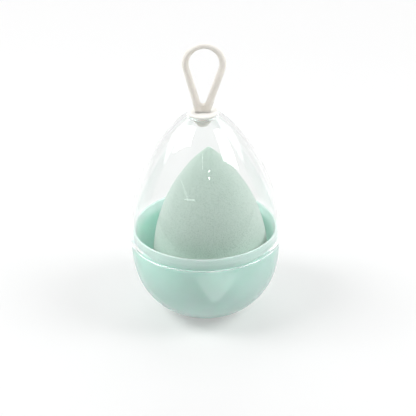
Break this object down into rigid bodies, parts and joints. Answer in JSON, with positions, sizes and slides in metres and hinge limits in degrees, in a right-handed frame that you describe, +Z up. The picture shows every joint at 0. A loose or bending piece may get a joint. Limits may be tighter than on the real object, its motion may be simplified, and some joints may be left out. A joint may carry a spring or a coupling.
{
  "type": "makeup sponge in an egg-shaped case",
  "caption": "Teardrop foam makeup sponge standing in an egg-shaped travel case: opaque cup with a collar, clear domed lid, soft loop plugged into the lid to hang it by.",
  "frame": {"origin": "centre of the foot ring, on the surface that the case stands on", "axes": "+Z up along the axis of the case; the hanging loop lies in the XZ plane, seen face-on from -Y; the sponge stands a little off the axis towards +X"},
  "size_m": [0.0584, 0.0584, 0.1096],
  "materials": {
    "cup_plastic": "glossy moulded mint-green plastic, slightly see-through at thin edges",
    "clear_plastic": "clear colourless moulded plastic, polished inside and out",
    "silicone": "matt off-white moulded silicone",
    "foam": "fine-pored pale mint foam, matt, with no skin"
  },
  "bodies": {
    "cup": {"base_cup": "cup_plastic"},
    "sponge": {"sponge": "foam"},
    "lid": {"lid": "clear_plastic"},
    "hanger": {"hanger": "silicone"}
  },
  "joints": [
    {"name": "sponge_lift", "type": "slide", "parent": "cup", "child": "sponge", "axis": [0, 0, 1], "range_m": [0, 0.04]},
    {"name": "lid_lift", "type": "slide", "parent": "sponge", "child": "lid", "axis": [0, 0, 1], "range_m": [0, 0.06]},
    {"name": "hanger_turn", "type": "hinge", "parent": "lid", "child": "hanger", "pos_m": [0, 0, 0.0816], "axis": [0, 0, 1], "continuous": true}
  ]
}
